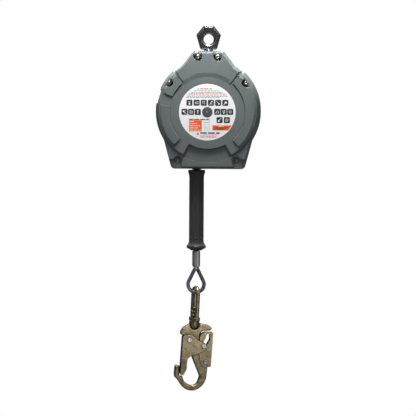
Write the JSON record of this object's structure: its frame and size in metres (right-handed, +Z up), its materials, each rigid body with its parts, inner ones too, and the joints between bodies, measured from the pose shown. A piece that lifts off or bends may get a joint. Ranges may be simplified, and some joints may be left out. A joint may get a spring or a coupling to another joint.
{
  "type": "self retracting lifeline",
  "caption": "Fall-arrest block: a drum housing hanging from a swivelling anchor eye, with a retracting wire rope, grip and self-locking swivel snap hook.",
  "frame": {"origin": "centre of the anchor eye's hole", "axes": "+Z up along the swivel shank, the lifeline leaves towards -Z; -Y is the front, with the main label; the drum turns about Y"},
  "size_m": [0.21, 0.084, 0.7316],
  "materials": {
    "housing_plastic": "satin moulded",
    "eye_steel": "dark polished forging",
    "bright_steel": "bright turned",
    "label_print": "printed gloss film",
    "hub_plastic": "satin",
    "screw_steel": "zinc plated",
    "insert_brass": "turned",
    "frame_steel": "galvanised",
    "cast_alloy": "as cast",
    "bearing_bronze": "sintered",
    "rope_steel": "galvanised wire rope",
    "friction_lining": "matt",
    "spring_steel": "blued",
    "black_plastic": "satin",
    "grip_rubber": "satin moulded",
    "ferrule_alloy": "pressed",
    "hook_zinc": "yellow zinc plated forging",
    "rivet_steel": "bright"
  },
  "bodies": {
    "anchor_eye": {"anchor_eye": "eye_steel", "eye_collar": "bright_steel", "eye_washer": "frame_steel", "eye_nut": "screw_steel", "cotter_pin": "screw_steel"},
    "housing": {"front_cover": "housing_plastic", "rear_cover": "housing_plastic", "case_screws": "screw_steel", "case_inserts": "insert_brass", "labels": "label_print", "hub_caps": "hub_plastic", "hub_pins": "bright_steel", "frame_plate_front": "frame_steel", "frame_plate_rear": "frame_steel", "anchor_block": "cast_alloy", "eye_bushing": "bearing_bronze", "frame_bolts": "screw_steel", "frame_nuts": "screw_steel", "frame_spacers": "cast_alloy", "spacer_rivets": "frame_steel", "main_shaft": "bright_steel", "shaft_nuts": "screw_steel", "rope_bush": "black_plastic", "rope_lead_in": "rope_steel", "ratchet_ring": "frame_steel", "ratchet_rivets": "frame_steel", "spring_cup": "black_plastic", "cup_screws": "screw_steel", "power_spring": "spring_steel"},
    "drum": {"drum": "cast_alloy", "rope_pack": "rope_steel", "drum_bushings": "bearing_bronze", "brake_linings": "friction_lining", "pawl_carrier": "frame_steel", "pressure_plate": "frame_steel", "brake_bolts": "screw_steel", "pawl_pins": "bright_steel", "pawl_springs": "spring_steel"},
    "pawl_a": {"pawl_a": "frame_steel"},
    "pawl_b": {"pawl_b": "frame_steel"},
    "line_end": {"rope_run": "rope_steel", "rope_eye": "rope_steel", "ferrule": "ferrule_alloy", "thimble": "rope_steel"},
    "grip": {"grip": "grip_rubber", "grip_sleeve": "black_plastic"},
    "bow": {"swivel_bow": "hook_zinc"},
    "hook": {"swivel_pin": "hook_zinc", "swivel_nut": "hook_zinc", "swivel_washer": "hook_zinc", "hook_body": "hook_zinc", "stop_pins": "hook_zinc", "hook_rivets": "rivet_steel", "gate_spring": "spring_steel", "lever_spring": "spring_steel"},
    "gate": {"gate": "hook_zinc", "lock_pin": "rivet_steel"},
    "lever": {"lock_lever": "hook_zinc"}
  },
  "joints": [
    {"name": "housing_swivel", "type": "hinge", "parent": "anchor_eye", "child": "housing", "pos_m": [0, 0, -0.048], "axis": [0, 0, 1], "continuous": true},
    {"name": "lifeline_pull", "type": "slide", "parent": "housing", "child": "line_end", "axis": [0, 0, -1], "range_m": [0, 6.1], "stiffness_N_per_m": 5, "springref_m": -5, "deforming": ["rope_run"]},
    {"name": "drum_spin", "type": "hinge", "parent": "housing", "child": "drum", "pos_m": [0, 0, -0.144], "axis": [0, -1, 0], "continuous": true},
    {"name": "pawl_a_swing", "type": "hinge", "parent": "drum", "child": "pawl_a", "pos_m": [0.04098, -0.0225, -0.17601], "axis": [0, 1, 0], "range_deg": [0, 12], "stiffness_Nm_per_rad": 0.03, "springref_deg": -28.65},
    {"name": "pawl_b_swing", "type": "hinge", "parent": "drum", "child": "pawl_b", "pos_m": [-0.04098, -0.0225, -0.11199], "axis": [0, 1, 0], "range_deg": [0, 12], "stiffness_Nm_per_rad": 0.03, "springref_deg": -28.65},
    {"name": "grip_turn", "type": "hinge", "parent": "line_end", "child": "grip", "pos_m": [-0.0225, 0, -0.341], "axis": [0, 0, 1], "continuous": true},
    {"name": "bow_swing", "type": "hinge", "parent": "line_end", "child": "bow", "pos_m": [-0.0225, 0, -0.5061], "axis": [1, 0, 0], "range_deg": [-50, 50]},
    {"name": "hook_swivel", "type": "hinge", "parent": "bow", "child": "hook", "pos_m": [-0.02523, 0, -0.55944], "axis": [0.0436, 0, 0.999], "continuous": true},
    {"name": "gate_open", "type": "hinge", "parent": "hook", "child": "gate", "pos_m": [-0.03634, -0.00198, -0.601], "axis": [0.2077, -0.9781, -0.0091], "range_deg": [0, 22], "stiffness_Nm_per_rad": 0.15, "springref_deg": -34.38},
    {"name": "lever_press", "type": "hinge", "parent": "hook", "child": "lever", "pos_m": [-0.00384, 0.00534, -0.64596], "axis": [0.2077, -0.9781, -0.0091], "range_deg": [0, 7.92], "stiffness_Nm_per_rad": 0.06, "springref_deg": -22.92}
  ],
  "couplings": [
    {"joint": "drum_spin", "follows": "lifeline_pull", "rad_per_m": 20},
    {"joint": "lever_press", "follows": "gate_open", "ratio": 0.36}
  ]
}
